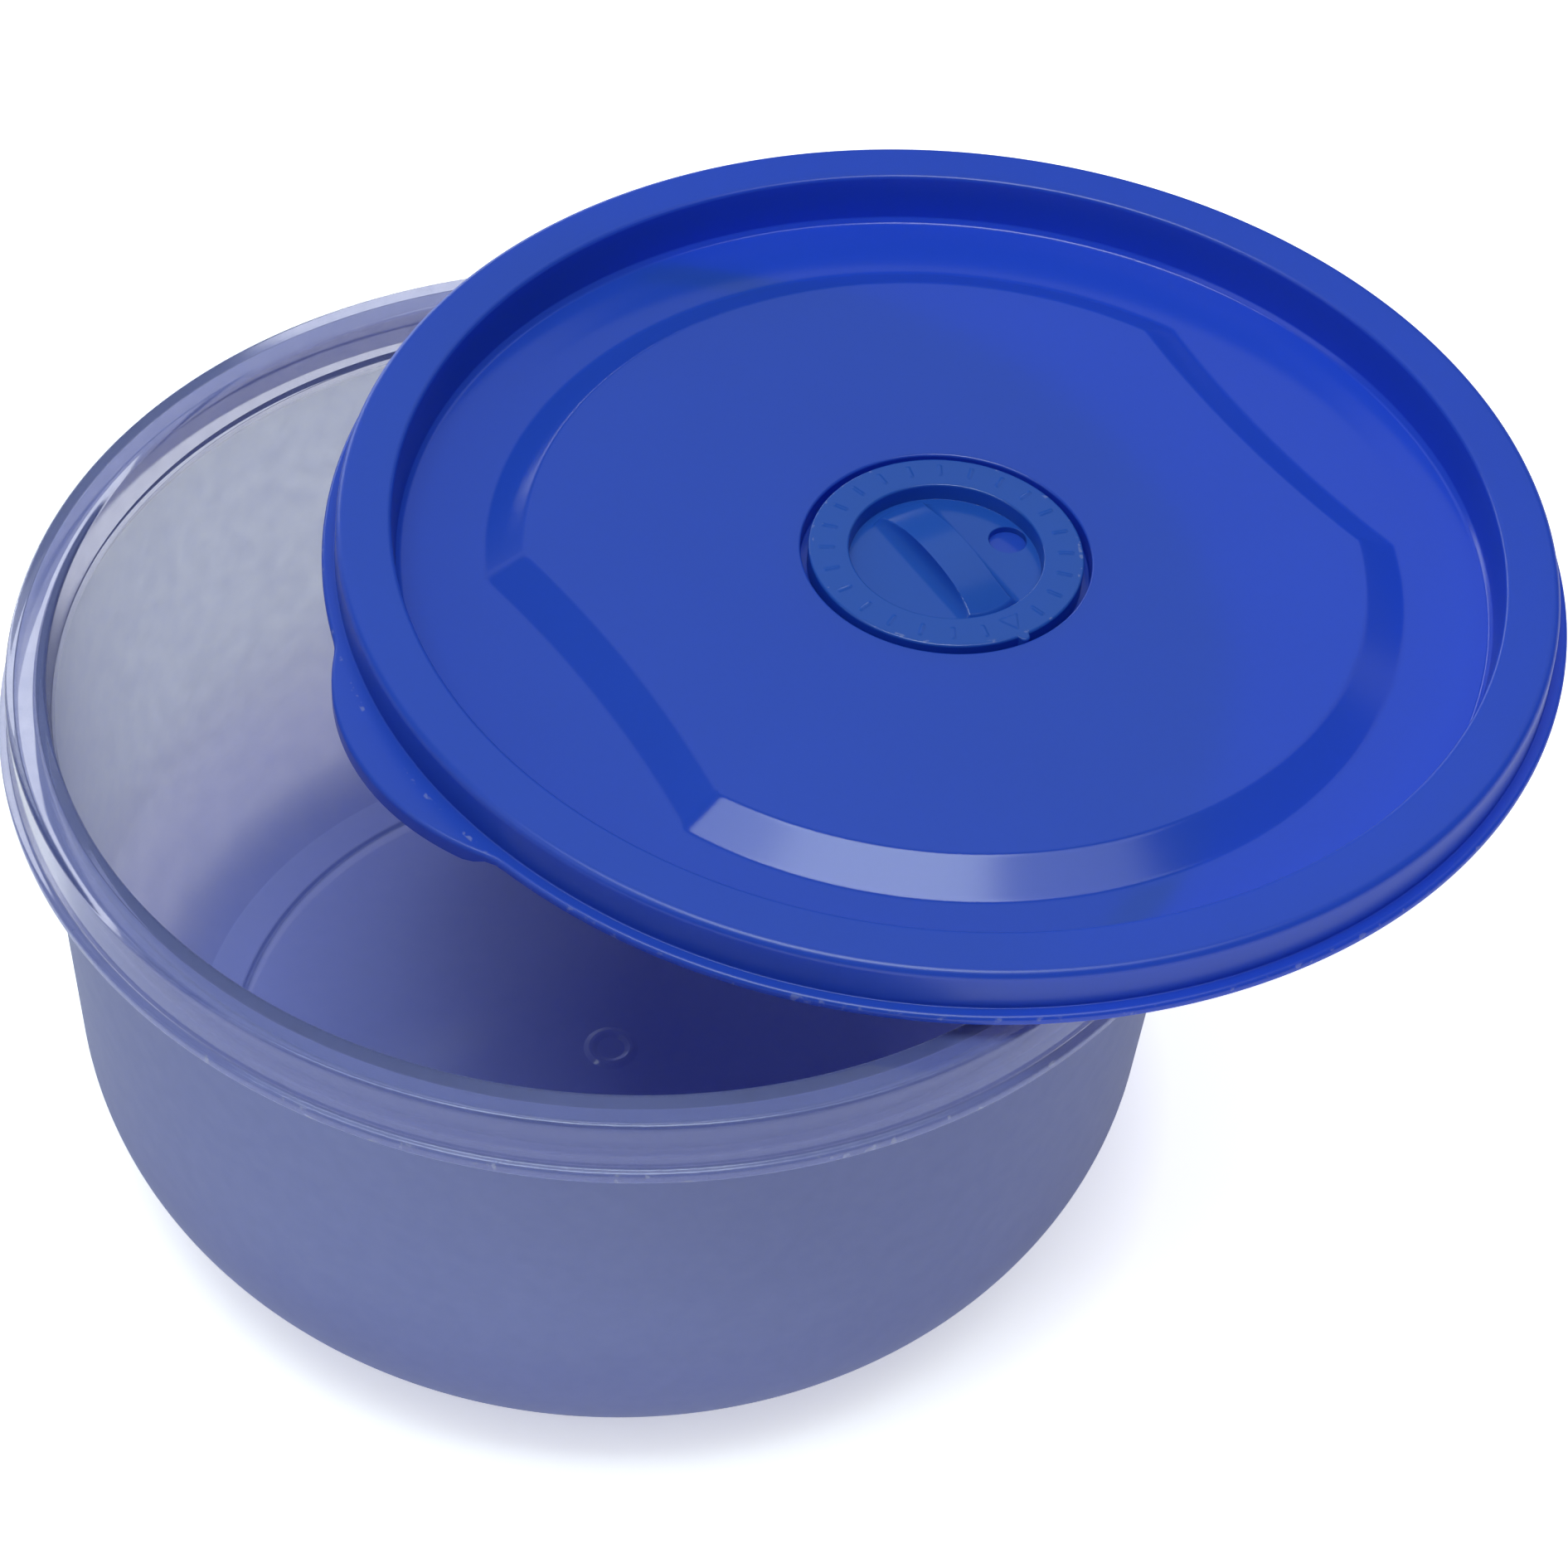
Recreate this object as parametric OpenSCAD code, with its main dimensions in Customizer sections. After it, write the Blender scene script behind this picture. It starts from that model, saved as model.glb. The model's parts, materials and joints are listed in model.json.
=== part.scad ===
// Round food bowl with a press-on lid that has a turning steam vent.
// The bowl stands upright. The lid lies off centre on its rim, as it is put down when the bowl is in use.

/* [Bowl] */
// Height of the bowl, from the table to the top of the rim
bowl_h = 108; // [95:1:125]
// Outer radius at the top of the rim
rim_r = 105.5; // [105.3:0.1:105.8]
// Inner radius just under the top of the rim
mouth_r = 98.6; // [98.4:0.1:99]
// Depth of the turned-down rim
rim_h = 11.8; // [10:0.2:13]
// Outer radius of the lip at the foot of the rim
flange_r = 107.3; // [106.6:0.1:108]
// Thickness of that lip
flange_t = 2.3; // [1.5:0.1:3]
// Outer radius of the wall just under the rim
wall_r = 101.3; // [101:0.1:102]
// Angle of the wall from upright
draft = 2.7; // [1:0.1:4]
// Thickness of the wall
wall_t = 1.8; // [1.4:0.1:2.2]
// Thickness of the floor
floor_t = 1.8; // [1.4:0.1:2.4]
// Radius of the big curve between the wall and the floor
corner_r = 38.4; // [36:0.2:42]
// Height of the centre of that curve
corner_z = 33.2; // [31:0.2:35]
// Height of the foot ring under the floor
foot_h = 0.6; // [0.4:0.1:1]
// Radius of the middle of the foot ring, and of the groove above it
foot_r = 71.7; // [65:0.1:74]

/* [Lid] */
// Thickness of the lid's walls
lid_t = 1.2; // [1:0.1:1.3]
// Outer radius of the lid's top band
band_r = 106.8; // [106.7:0.1:107]
// Outer radius of the skirt where it meets the lip
skirt_r = 107.1; // [107:0.1:107.3]
// Outer radius of the lip at the foot of the skirt
lip_r = 109.4; // [108.6:0.1:110]
// Depth of the skirt, lip included
skirt_h = 8.9; // [8:0.1:9.4]
// Thickness of the lip
lip_t = 1.5; // [1.2:0.1:2]
// Inner radius of the top band
band_in_r = 97.3; // [97:0.1:97.4]
// Depth of the sunken floor under the top band
tray_h = 11.1; // [10:0.1:12]
// Radius where the sunken floor begins to rise to its wall
tray_r = 90.3; // [88:0.1:92]
// Height of the raised middle above the sunken floor
plateau_h = 3.8; // [3:0.1:4.5]
// Radius of the raised middle at its foot
plateau_r = 81.4; // [79:0.1:84]
// Distance from the centre to the foot of each hollow flank of the raised middle
flank_x = 71.4; // [70:0.1:76]
// Radius of the flanks, which curve inwards
flank_r = 240; // [200:5:400]
// Width of the sloping edge of the raised middle, seen from above
bevel_w = 7.2; // [5:0.1:8]
// Dip of the raised middle towards the dial
dish_h = 1.1; // [0:0.1:1.2]
// Radius of the pull tab's curved edge
tab_r = 46.9; // [40:0.1:50]
// How far the pull tab stands out past the centre line of the lid
tab_reach = 115.1; // [113:0.1:118]
// Drop of the pull tab's turned-down edge below the lip
tab_drop = 1.8; // [1:0.1:2.4]

/* [Vent dial] */
// Radius of the round well that holds the dial
well_r = 25.8; // [25.8:0.1:27]
// Outer radius of the dial
dial_r = 24.4; // [24:0.1:24.4]
// How far the top of the dial stands over the edge of its well
dial_rise = 0.3; // [0:0.1:0.4]
// Radius of the dial's finger recess
cup_r = 17.3; // [16.9:0.1:18]
// Depth of the finger recess
cup_h = 3.2; // [2.4:0.1:3.6]
// Thickness of the recess's floor
cup_t = 1.25; // [1:0.05:1.5]
// Radius of the steam hole in the dial
vent_r = 3.4; // [2.5:0.1:3.4]
// Distance of the steam hole from the dial's centre
vent_x = 13.4; // [12:0.1:13.4]
// Width of the grip bar across the finger recess, at its top
grip_w = 7.5; // [6:0.1:9]
// Height of the middle of the grip bar over the dial's ring
grip_rise = 0.8; // [0:0.1:1]
// Radius of the arch along the grip bar's top
grip_arch = 41; // [38:1:80]
// Radius of the dial's pivot pin
pin_r = 3; // [2.5:0.1:3.5]
// Turn of the dial from shut to open
vent_turn = 90; // [60:5:120]

/* [Lid's place on the rim] */
// Offset of the lid's centre to the right
lid_x = 53.8; // [0:0.1:54]
// Offset of the lid's centre to the back
lid_y = 27.8; // [0:0.1:28]
// Direction of the pull tab, anticlockwise from the right
tab_turn = -145; // [-180:1:180]

/* [Hidden] */
$fn = 128;

// Slack between faces that turn or slide on each other
running_gap = 0.05;
// Overlap that makes joined shapes one solid
bite = 0.5;

// Bowl: outer face of the wall at a height, and the centre of its corner curve
rim_foot_z = bowl_h - rim_h;
function wall_at(z) = wall_r - tan(draft) * (rim_foot_z - z);
corner_x = wall_at(corner_z) - corner_r / cos(draft);
floor_z = foot_h + floor_t;
rim_t = 1.6;
edge_r = 1;
foot_w = 2.4;
groove_w = 0.7;
groove_h = 0.3;
gate_r = 4.4;
gate_h = 0.3;

// Snap bead on the inside of the rim
bead_r = 97.7;
bead_z = bowl_h - 9;

// Lid: heights from the top of its band, down
tray_under = tray_h + lid_t;
plateau_z = -(tray_h - plateau_h);
dish_z = plateau_z - dish_h;
lid_z = bowl_h + tray_under;
inner_round = 2.4;
outer_round = 2.2;
plug_in_r = band_in_r - 0.7;
plug_foot = tray_h - 1.5;
tab_x = tab_reach - tab_r;
tab_edge = 1.4;

// Dial: heights from its own top face, down
dial_z = dish_z + dial_rise;
dial_h = cup_h + cup_t;
well_floor = dial_z - dial_h - running_gap;
well_t = 1.3;
boss_r = 6;
boss_h = 2.5;
pin_len = well_t + boss_h + 2 * running_gap;
catch_r = pin_r + 0.9;
catch_h = 2.2;
dial_edge = 1.2;
dial_chamfer = 0.3;
slot_w = 1;

// Stops: a nib on the dial turns between two bumps on the wall of the well
nib_r = 1;
nib_at = 90;
nib_x = 24.6;
bump_x = 25.6;
bump_angle = acos(1 - (pow(2 * nib_r + running_gap, 2) - pow(bump_x - nib_x, 2)) / (2 * bump_x * nib_x));
bump_h = 2.6;

// Grip bar: scooped sides, and round ends inside the finger recess
scoop_z = 0.4;
scoop_r = cup_h + scoop_z + 0.2;
scoop_x = grip_w / 2 + scoop_r;
grip_foot = scoop_x - sqrt(pow(scoop_r, 2) - pow(cup_h + scoop_z, 2)) - 0.15;
grip_end = 15.4;

// Raised marks on the dial's ring
tick_step = 15;
tick_size = [2.4, 0.6, 0.25];
tick_x = 20.2;
pointer = [3.2, 3.4];
pointer_x = 19.4;

// Points of an arc about [x, y], from one angle to another
function arc(x, y, r, from, to, steps = 6) =
    [for (i = [0 : steps]) let (a = from + (to - from) * i / steps) [x + r * cos(a), y + r * sin(a)]];

// Angle at which a circle of radius r about the corner's centre reaches a height
function corner_angle(r, z) = asin((z - corner_z) / r);

module bowl_outline() {
    inner_r = corner_r - wall_t;
    skirt_in = rim_r - 1.3;
    plug_out = mouth_r + rim_t;
    polygon(concat(
        // under side, with the foot ring
        [[0, foot_h], [foot_r - foot_w / 2 - 0.3, foot_h], [foot_r - foot_w / 2, 0],
         [foot_r + foot_w / 2, 0], [foot_r + foot_w / 2 + 0.3, foot_h]],
        // outer corner and wall
        arc(corner_x, corner_z, corner_r, corner_angle(corner_r, foot_h), -draft, 14),
        [[wall_r, rim_foot_z]],
        // hollow of the turned-down rim
        [[plug_out, rim_foot_z + 4], [plug_out, bowl_h - rim_t - 0.8], [plug_out + 0.8, bowl_h - rim_t],
         [skirt_in - 0.8, bowl_h - rim_t], [skirt_in, bowl_h - rim_t - 0.8], [skirt_in + 0.3, rim_foot_z]],
        // lip and the outer face of the rim
        [[flange_r - 0.3, rim_foot_z], [flange_r, rim_foot_z + 0.3],
         [flange_r, rim_foot_z + flange_t - 0.6], [flange_r - 0.4, rim_foot_z + flange_t - 0.2],
         [rim_r + 0.4, rim_foot_z + flange_t]],
        arc(rim_r - 0.8, bowl_h - 0.8, 0.8, 0, 90, 4),
        // inner edge, snap bead, inner wall and corner
        arc(mouth_r + edge_r, bowl_h - edge_r, edge_r, 90, 180, 4),
        [[mouth_r - 0.4, bead_z + 1.8], [bead_r, bead_z + 0.4], [bead_r, bead_z - 0.4],
         [wall_at(bead_z - 3.4) - wall_t, bead_z - 3.4]],
        arc(corner_x, corner_z, inner_r, -draft, corner_angle(inner_r, floor_z), 14),
        // floor, with its round groove and the mark of the mould's gate
        [[foot_r + groove_w / 2, floor_z], [foot_r, floor_z - groove_h], [foot_r - groove_w / 2, floor_z],
         [gate_r, floor_z], [gate_r - 0.5, floor_z + gate_h], [gate_r - 1.1, floor_z], [0, floor_z]]
    ));
}

module bowl() {
    color([0.50, 0.55, 0.76]) rotate_extrude() bowl_outline();
}

// Band, skirt, lip, plug and sunken floor of the lid
module lid_outline() {
    top_x = band_in_r + inner_round;
    plug_t = lid_t - 0.1;
    polygon(concat(
        [[0, -tray_h], [tray_r, -tray_h], [plug_in_r - 0.5, -plug_foot - 0.6], [plug_in_r, -plug_foot]],
        arc(top_x, -inner_round, inner_round, 180, 90, 6),
        arc(band_r - outer_round, -outer_round, outer_round, 90, 0, 6),
        [[skirt_r, -skirt_h + lip_t]],
        arc(lip_r - 0.8, -skirt_h + lip_t - 0.8, 0.8, 90, 0, 4),
        [[lip_r, -skirt_h + 0.2], [lip_r - 0.2, -skirt_h], [skirt_r - plug_t, -skirt_h]],
        arc(band_r - outer_round, -outer_round, outer_round - 1, 0, 90, 4),
        [[top_x, -lid_t]],
        arc(top_x, -inner_round, inner_round - plug_t, 90, 180, 4),
        [[plug_in_r + plug_t + 0.1, -plug_foot], [plug_in_r + 0.2, -plug_foot - 1.7],
         [tray_r, -tray_under], [0, -tray_under]]
    ));
}

// Raised middle: a low cone, slightly dished, with two hollow sloping flanks
module plateau(drop) {
    slope = bevel_w / plateau_h;
    root = 0.6;
    over = 0.4;
    low = -tray_h - root;
    translate([0, 0, -drop]) difference() {
        rotate_extrude()
            polygon([[0, low], [plateau_r + slope * root, low], [plateau_r - bevel_w, plateau_z],
                     [well_r + lid_t + 0.6, dish_z], [0, dish_z]]);
        for (side = [-1, 1])
            translate([side * (flank_x + flank_r), 0, low - over])
                cylinder(h = root + plateau_h + 2 * over, r1 = flank_r - slope * (root + over),
                         r2 = flank_r + bevel_w + slope * over, $fn = 360);
    }
}

// Pull tab: the lip widened on one side, with its edge turned down
module pull_tab() {
    translate([0, 0, -skirt_h]) linear_extrude(lip_t) difference() {
        translate([tab_x, 0]) circle(tab_r);
        circle(skirt_r - bite);
    }
    translate([0, 0, -skirt_h - tab_drop]) linear_extrude(tab_drop + bite) difference() {
        translate([tab_x, 0]) circle(tab_r);
        translate([tab_x, 0]) circle(tab_r - tab_edge);
        circle(lip_r - 0.4);
    }
}

// Bumps on the wall of the well that stop the dial's nib
module stop_bumps() {
    for (angle = [nib_at - bump_angle, nib_at + vent_turn + bump_angle])
        rotate([0, 0, angle]) translate([bump_x, 0, well_floor - bite]) cylinder(h = bump_h + bite, r = nib_r);
}

module lid_shell() {
    difference() {
        union() {
            rotate_extrude() lid_outline();
            plateau(0);
        }
        plateau(lid_t);
    }
    translate([0, 0, well_floor - well_t]) cylinder(h = dish_z - well_floor + well_t, r = well_r + lid_t);
    translate([0, 0, well_floor - well_t - boss_h]) cylinder(h = boss_h + bite, r = boss_r);
    pull_tab();
}

module lid() {
    color([0.20, 0.31, 0.72]) translate([lid_x, lid_y, lid_z]) rotate([0, 0, tab_turn]) {
        difference() {
            lid_shell();
            translate([0, 0, well_floor]) cylinder(h = tray_h, r = well_r);
            translate([0, 0, well_floor - well_t - boss_h - 1])
                cylinder(h = well_t + boss_h + 2, r = pin_r + running_gap);
            rotate([0, 0, 180 + vent_turn]) translate([vent_x, 0, well_floor - well_t - 1])
                cylinder(h = well_t + 2, r = vent_r);
        }
        stop_bumps();
    }
}

module dial_outline() {
    base = -dial_h;
    polygon([
        [0, -cup_h], [cup_r - 0.3, -cup_h], [cup_r, -dial_chamfer], [cup_r + dial_chamfer, 0],
        [dial_r - dial_chamfer, 0], [dial_r, -dial_chamfer], [dial_r, base],
        [dial_r - dial_edge, base], [dial_r - dial_edge, -dial_edge],
        [cup_r + dial_edge, -dial_edge], [cup_r + dial_edge, base],
        [pin_r, base], [pin_r, base - pin_len], [catch_r, base - pin_len],
        [catch_r, base - pin_len - 0.4], [pin_r - 0.6, base - pin_len - catch_h], [0, base - pin_len - catch_h]
    ]);
}

// Grip bar: arched along its length, with a scooped side for a finger on either side
module grip_bar() {
    root = -cup_h - bite;
    difference() {
        intersection() {
            translate([0, 0, root]) cylinder(h = grip_rise - root, r = grip_end);
            translate([0, 0, grip_rise - grip_arch]) rotate([0, 90, 0])
                cylinder(h = 2 * cup_r, r = grip_arch, center = true, $fn = 256);
            translate([-grip_foot, -cup_r, root]) cube([2 * grip_foot, 2 * cup_r, grip_rise - root]);
        }
        for (side = [-1, 1])
            translate([side * scoop_x, 0, scoop_z]) rotate([90, 0, 0])
                cylinder(h = 2 * cup_r + 2, r = scoop_r, center = true);
    }
}

module dial_marks() {
    for (angle = [nib_at + tick_step : tick_step : nib_at + 360 - tick_step])
        rotate([0, 0, angle]) translate([tick_x, -tick_size[1] / 2, -bite])
            cube([tick_size[0], tick_size[1], tick_size[2] + bite]);
    rotate([0, 0, nib_at]) translate([pointer_x, 0, -bite]) linear_extrude(tick_size[2] + bite)
        polygon([[0, -pointer[1] / 2], [0, pointer[1] / 2], [pointer[0], 0]]);
}

module vent_dial() {
    color([0.22, 0.34, 0.71]) translate([lid_x, lid_y, lid_z + dial_z]) rotate([0, 0, tab_turn]) difference() {
        union() {
            rotate_extrude() dial_outline();
            grip_bar();
            dial_marks();
            rotate([0, 0, nib_at]) translate([nib_x, 0, -dial_h]) cylinder(h = dial_h, r = nib_r);
        }
        translate([-vent_x, 0, -dial_h - 1]) cylinder(h = dial_h + 2, r = vent_r);
        // the slot lets the catch close up as it is pushed through the lid
        translate([-catch_r - 1, -slot_w / 2, -dial_h - pin_len - catch_h - 1])
            cube([2 * catch_r + 2, slot_w, pin_len + catch_h]);
    }
}

bowl();
lid();
vent_dial();
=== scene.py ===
"""A round frosted food bowl with a blue vented lid lying off centre on its rim."""

import json
import math

import bmesh
import bpy
import numpy as np
from mathutils import Matrix, Vector
from mathutils.geometry import delaunay_2d_cdt


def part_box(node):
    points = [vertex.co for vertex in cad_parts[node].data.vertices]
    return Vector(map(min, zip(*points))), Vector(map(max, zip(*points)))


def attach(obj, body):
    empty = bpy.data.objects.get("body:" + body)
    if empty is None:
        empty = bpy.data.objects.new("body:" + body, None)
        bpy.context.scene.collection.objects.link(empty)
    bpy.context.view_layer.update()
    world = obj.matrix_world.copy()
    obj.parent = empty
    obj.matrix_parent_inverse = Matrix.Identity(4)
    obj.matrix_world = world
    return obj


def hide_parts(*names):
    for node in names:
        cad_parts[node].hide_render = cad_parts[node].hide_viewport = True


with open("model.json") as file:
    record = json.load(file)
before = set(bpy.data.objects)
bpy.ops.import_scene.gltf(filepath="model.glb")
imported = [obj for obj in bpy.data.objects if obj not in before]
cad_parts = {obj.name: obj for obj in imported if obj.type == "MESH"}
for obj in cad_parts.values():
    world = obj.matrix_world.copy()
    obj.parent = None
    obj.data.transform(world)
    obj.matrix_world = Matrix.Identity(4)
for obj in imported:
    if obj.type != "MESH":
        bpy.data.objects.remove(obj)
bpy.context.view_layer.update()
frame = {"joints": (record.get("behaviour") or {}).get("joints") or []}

MM = 0.001
UP = Vector((0, 0, 1))

# Where the lid and the dial are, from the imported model
dial_joint = next(j for j in frame["joints"] if j["name"] == "vent_turn")
LID_AXIS = Vector((dial_joint["pos_m"][0], dial_joint["pos_m"][1], 0))
LID_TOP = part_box("lid")[1].z
RIM_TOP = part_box("bowl")[1].z
# How far the lid is turned, from +X to the middle of its pull tab
TAB_ANGLE = math.radians(-145)

# Camera, at the photograph's viewing angle
CAMERA_POS = Vector((0.02874, -0.48316, 0.57319))
CAMERA_PITCH = math.radians(45.68)
CAMERA_ROLL = math.radians(4.85)
CAMERA_LENS = 89.5


# ---------------------------------------------------------------- profiles

def rounded(corners, steps=6, support=0.12):
    """The points of an outline through corners (r, z, fillet), with each corner rounded off.
    Long straight stretches get a point near either end, which keeps their shading flat."""
    corners = [tuple(c) + (0,) * (3 - len(c)) for c in corners]
    points = []
    for i, (r, z, fillet) in enumerate(corners):
        p = np.array((r, z), float)
        if fillet == 0 or i in (0, len(corners) - 1):
            points.append(p)
            continue
        a = np.array(corners[i - 1][:2]) - p
        b = np.array(corners[i + 1][:2]) - p
        la, lb = np.linalg.norm(a), np.linalg.norm(b)
        a, b = a / la, b / lb
        half = math.acos(float(np.clip(a @ b, -1, 1))) / 2
        if half > math.radians(89):
            points.append(p)
            continue
        reach = min(fillet / math.tan(half), 0.45 * la, 0.45 * lb)
        radius = reach * math.tan(half)
        middle = (a + b) / np.linalg.norm(a + b)
        centre = p + middle * radius / math.sin(half)
        start, end = p + a * reach - centre, p + b * reach - centre
        a0 = math.atan2(start[1], start[0])
        turn = (math.atan2(end[1], end[0]) - a0 + math.pi) % (2 * math.pi) - math.pi
        for k in range(steps + 1):
            t = a0 + turn * k / steps
            points.append(centre + radius * np.array((math.cos(t), math.sin(t))))
    out = [points[0]]
    for p, q in zip(points, points[1:]):
        length = np.linalg.norm(q - p)
        if length > 6 * support:
            step = (q - p) / length * support
            out += [p + step, q - step]
        if length > 1e-6:
            out.append(q)
    return np.array(out)


def arc(r, z, radius, start, end, steps):
    """Corners, with no fillet, along an arc about (r, z), from one angle to another in degrees."""
    return [
        (r + radius * math.cos(math.radians(a)), z + radius * math.sin(math.radians(a)))
        for a in np.linspace(start, end, steps + 1)
    ]


# ------------------------------------------------------------------ meshes

class Shell:
    """A mesh put together from lofted rings and flat patches, in millimetres."""

    def __init__(self):
        self.verts, self.faces = [], []

    def add(self, verts, faces):
        first = sum(len(v) for v in self.verts)
        self.verts.append(np.asarray(verts, float))
        self.faces += [[i + first for i in f] for f in faces]

    def loft(self, rings):
        """Quads between neighbouring rings of the same number of points."""
        count, columns = len(rings), len(rings[0])
        faces = [
            [i * columns + j, i * columns + (j + 1) % columns,
             (i + 1) * columns + (j + 1) % columns, (i + 1) * columns + j]
            for i in range(count - 1) for j in range(columns)
        ]
        self.add(np.concatenate(rings), faces)

    def cap(self, ring, flip=False):
        self.add(ring, [list(range(len(ring)))[:: -1 if flip else 1]])

    def patch(self, loops, inside, height, flip=False):
        """Triangles between an outer loop and the holes in it. height(x, y) gives the surface."""
        points, edges = [], []
        for loop in loops:
            first = len(points)
            points += [Vector(p[:2]) for p in loop]
            edges += [(first + i, first + (i + 1) % len(loop)) for i in range(len(loop))]
        points += [Vector(p) for p in inside]
        flat, _, triangles, *_ = delaunay_2d_cdt(points, edges, [], 1, 1e-5)
        xy = np.array([tuple(p) for p in flat])
        z = height(xy[:, 0], xy[:, 1])
        holes = [np.array([p[:2] for p in loop]) for loop in loops[1:]]
        holes = [(h.mean(0), math.dist(h[0], h.mean(0))) for h in holes]
        kept = []
        for t in triangles:
            middle = xy[list(t)].mean(0)
            if not any(math.dist(middle, c) < radius for c, radius in holes):
                kept.append(list(t)[:: -1 if flip else 1])
        self.add(np.column_stack([xy, z]), kept)

    def build(self, name, matrix, sharp_angle=40):
        """The finished object, in metres, with the seams between its parts closed."""
        mesh = bpy.data.meshes.new(name)
        mesh.from_pydata((np.concatenate(self.verts) * MM).tolist(), [], self.faces)
        bm = bmesh.new()
        bm.from_mesh(mesh)
        bmesh.ops.remove_doubles(bm, verts=bm.verts, dist=2e-6)
        bmesh.ops.dissolve_degenerate(bm, edges=bm.edges, dist=1e-7)
        bmesh.ops.recalc_face_normals(bm, faces=bm.faces)
        bm.to_mesh(mesh)
        bm.free()
        mesh.polygons.foreach_set("use_smooth", [True] * len(mesh.polygons))
        mesh.set_sharp_from_angle(angle=math.radians(sharp_angle))
        mesh.transform(matrix)
        obj = bpy.data.objects.new(name, mesh)
        bpy.context.scene.collection.objects.link(obj)
        return obj


def circle(radius, z, angles):
    """A ring about the axis. radius and z are numbers, or arrays with one value for each angle."""
    ones = np.ones(len(angles))
    return np.column_stack([radius * np.cos(angles), radius * np.sin(angles), z * ones])


def turned(profile, angles):
    return [circle(r, z, angles) for r, z in profile]


def smoothstep(low, high, x):
    t = np.clip((x - low) / (high - low), 0, 1)
    return t * t * (3 - 2 * t)


def soft_min(a, b, k):
    h = np.clip(0.5 + 0.5 * (b - a) / k, 0, 1)
    return b * (1 - h) + a * h - k * h * (1 - h)


def soft_max(a, b, k):
    return -soft_min(-a, -b, k)


# -------------------------------------------------------------------- bowl

# Lengths are in millimetres and heights are from the table
BOWL_COLUMNS = 320
WALL_TILT = 2.73
CORNER_CENTRE = (59.8, 33.2)
CORNER_R = 38.4
WALL_T = 1.8
FLOOR_Z, FLOOR_UNDER = 2.4, 0.6
FOOT_R, FOOT_W = 71.7, 2.4
GROOVE_W, GROOVE_H = 1.2, 0.4
GATE_R, GATE_W, GATE_H = 3.9, 0.6, 0.45
RIM_R, MOUTH_R, RIM_Z = 105.5, 98.6, 108
HOLLOW_R, HOLLOW_W, HOLLOW_Z = 100.2, 4.0, 106.4
BOWL_LIP_R, BOWL_LIP_Z, BOWL_LIP_H = 107.3, 96.2, 2.2
HUB_R = 0.8


def bowl_profile():
    """From the middle of the underside, out and up to the rim, and back down the inside."""
    cx, cz = CORNER_CENTRE
    inner_r = CORNER_R - WALL_T
    under = math.degrees(math.asin((FLOOR_UNDER - cz) / CORNER_R))
    floor = math.degrees(math.asin((FLOOR_Z - cz) / inner_r))
    foot_in, foot_out = FOOT_R - FOOT_W / 2, FOOT_R + FOOT_W / 2
    lip_top = BOWL_LIP_Z + BOWL_LIP_H
    outside = [
        (HUB_R, FLOOR_UNDER), (foot_in - 0.3, FLOOR_UNDER, 0.2), (foot_in, 0, 0.25),
        (foot_out, 0, 0.25), (foot_out + 0.3, FLOOR_UNDER, 0.2),
        *arc(cx, cz, CORNER_R, under, -WALL_TILT, 26),
        (101.3, BOWL_LIP_Z, 0.5), (HOLLOW_R + 0.1, lip_top, 0.4), (HOLLOW_R, HOLLOW_Z, 0.9),
        (HOLLOW_R + HOLLOW_W, HOLLOW_Z, 0.9), (104.5, BOWL_LIP_Z, 0.25), (BOWL_LIP_R, BOWL_LIP_Z, 0.7),
        (BOWL_LIP_R, lip_top, 0.8), (RIM_R + 0.4, lip_top + 0.2, 0.6), (RIM_R, RIM_Z, 0.8),
        (MOUTH_R, RIM_Z, 0.8), (98.15, 100.4, 0.8), (97.65, 99.0, 0.5), (99.4, 95.4, 1.5),
    ]
    groove, gate = GROOVE_W / 2, GATE_W / 2
    inside = [
        *arc(cx, cz, inner_r, -WALL_TILT, floor, 26),
        (FOOT_R + groove, FLOOR_Z, 0.25), (FOOT_R, FLOOR_Z - GROOVE_H, 0.35),
        (FOOT_R - groove, FLOOR_Z, 0.25), (GATE_R + gate + 1, FLOOR_Z, 0.4),
        (GATE_R + gate, FLOOR_Z + GATE_H, 0.3), (GATE_R - gate, FLOOR_Z + GATE_H, 0.3),
        (GATE_R - gate - 1, FLOOR_Z, 0.4), (HUB_R, FLOOR_Z),
    ]
    return rounded(outside + inside)


def is_inside(r, z):
    """True on the food side of the wall's middle line."""
    cx, cz = CORNER_CENTRE
    if z < cz:
        return math.hypot(max(r - cx, 0), z - cz) < CORNER_R - WALL_T / 2
    return r < cx + (CORNER_R - WALL_T / 2) / math.cos(math.radians(WALL_TILT)) \
        + (z - cz) * math.tan(math.radians(WALL_TILT))


def bowl_shell():
    angles = np.linspace(0, 2 * math.pi, BOWL_COLUMNS, endpoint=False)
    rings = turned(bowl_profile(), angles)
    shell = Shell()
    shell.loft(rings)
    shell.cap(rings[0], flip=True)
    shell.cap(rings[-1])
    bowl = shell.build("bowl_shell", Matrix.Identity(4))
    mark = bowl.data.attributes.new("inside", "FLOAT", "POINT")
    for vertex, value in zip(bowl.data.vertices, mark.data):
        radius = math.hypot(vertex.co.x, vertex.co.y) / MM
        value.value = float(is_inside(radius, vertex.co.z / MM))
    return bowl


# --------------------------------------------------------------------- lid

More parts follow.
